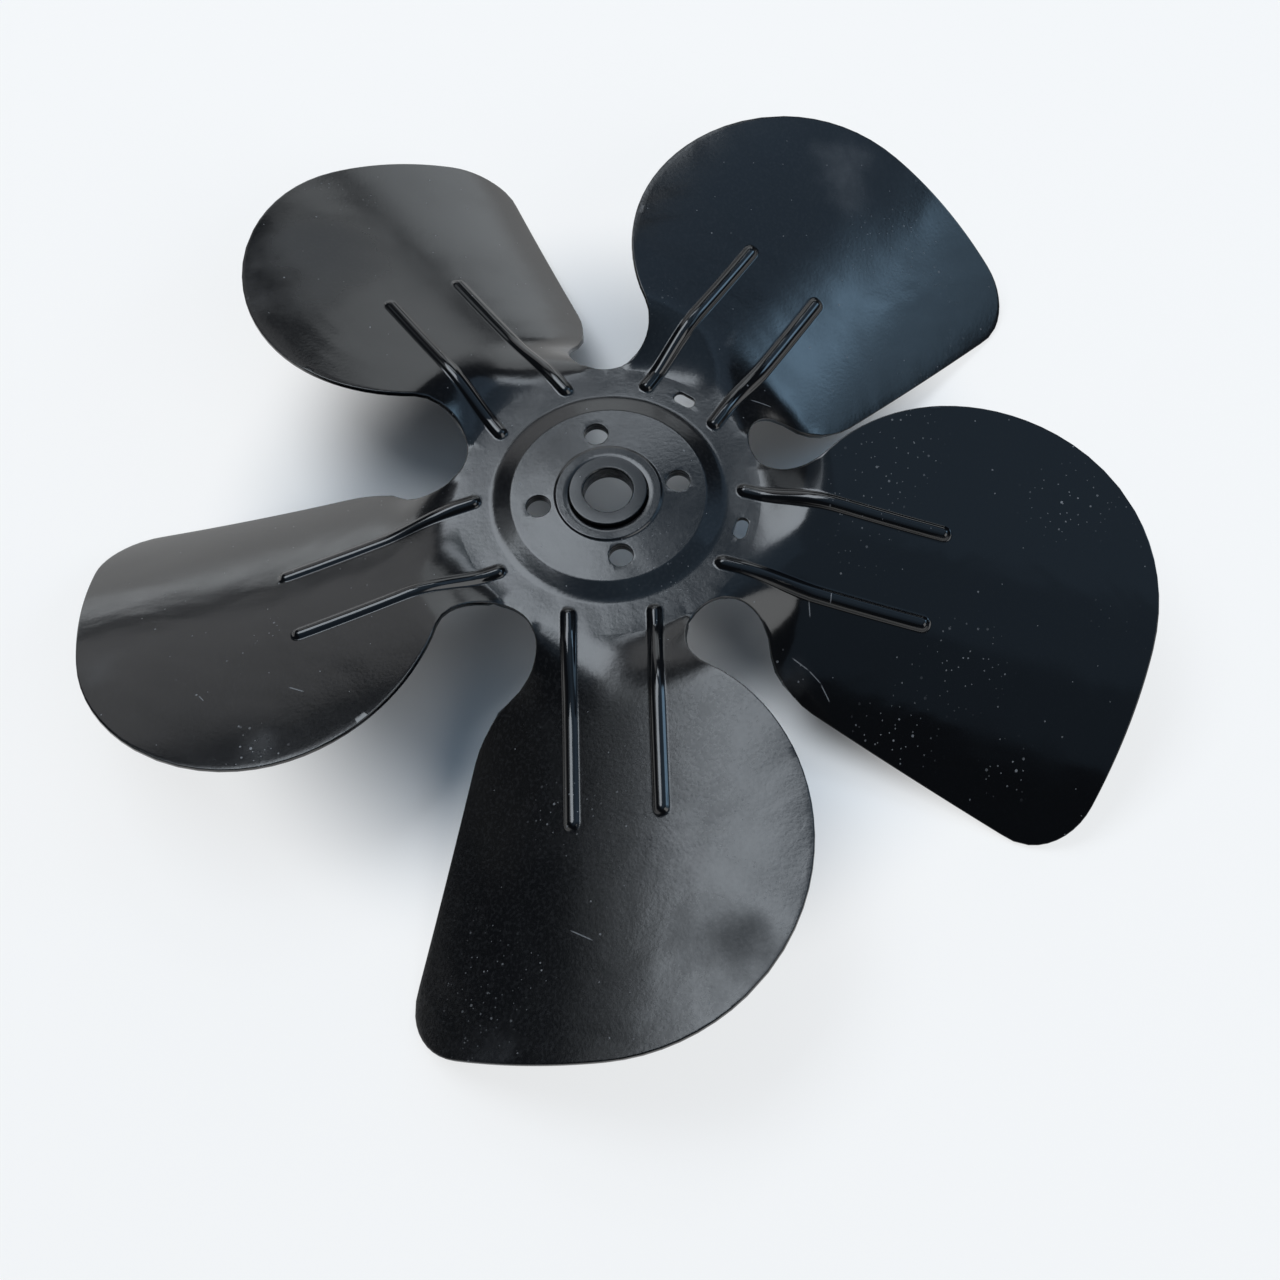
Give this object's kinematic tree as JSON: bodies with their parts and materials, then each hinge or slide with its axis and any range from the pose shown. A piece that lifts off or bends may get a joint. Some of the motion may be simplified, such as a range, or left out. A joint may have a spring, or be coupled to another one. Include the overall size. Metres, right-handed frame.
{
  "type": "axial fan impeller",
  "caption": "Pressed steel axial fan impeller with broad twisted blades, stiffening beads and a raised hub on a backing plate with a collared bore and screw holes.",
  "frame": {"origin": "centre of the bore at the hub plate's rear face", "axes": "+Z along the bore axis towards the front, where the beads and the collar stand out; the screw holes lie on X and Y"},
  "size_m": [0.1919, 0.1974, 0.0321],
  "materials": {
    "blade_enamel": "glossy black baked enamel over pressed steel, with dust specks and fine scratches",
    "hub_enamel": "satin black enamel over steel, worn bright in places on the collar and in the bore"
  },
  "bodies": {
    "root": {"blade_sheet": "blade_enamel", "hub_plate": "hub_enamel"}
  },
  "joints": []
}
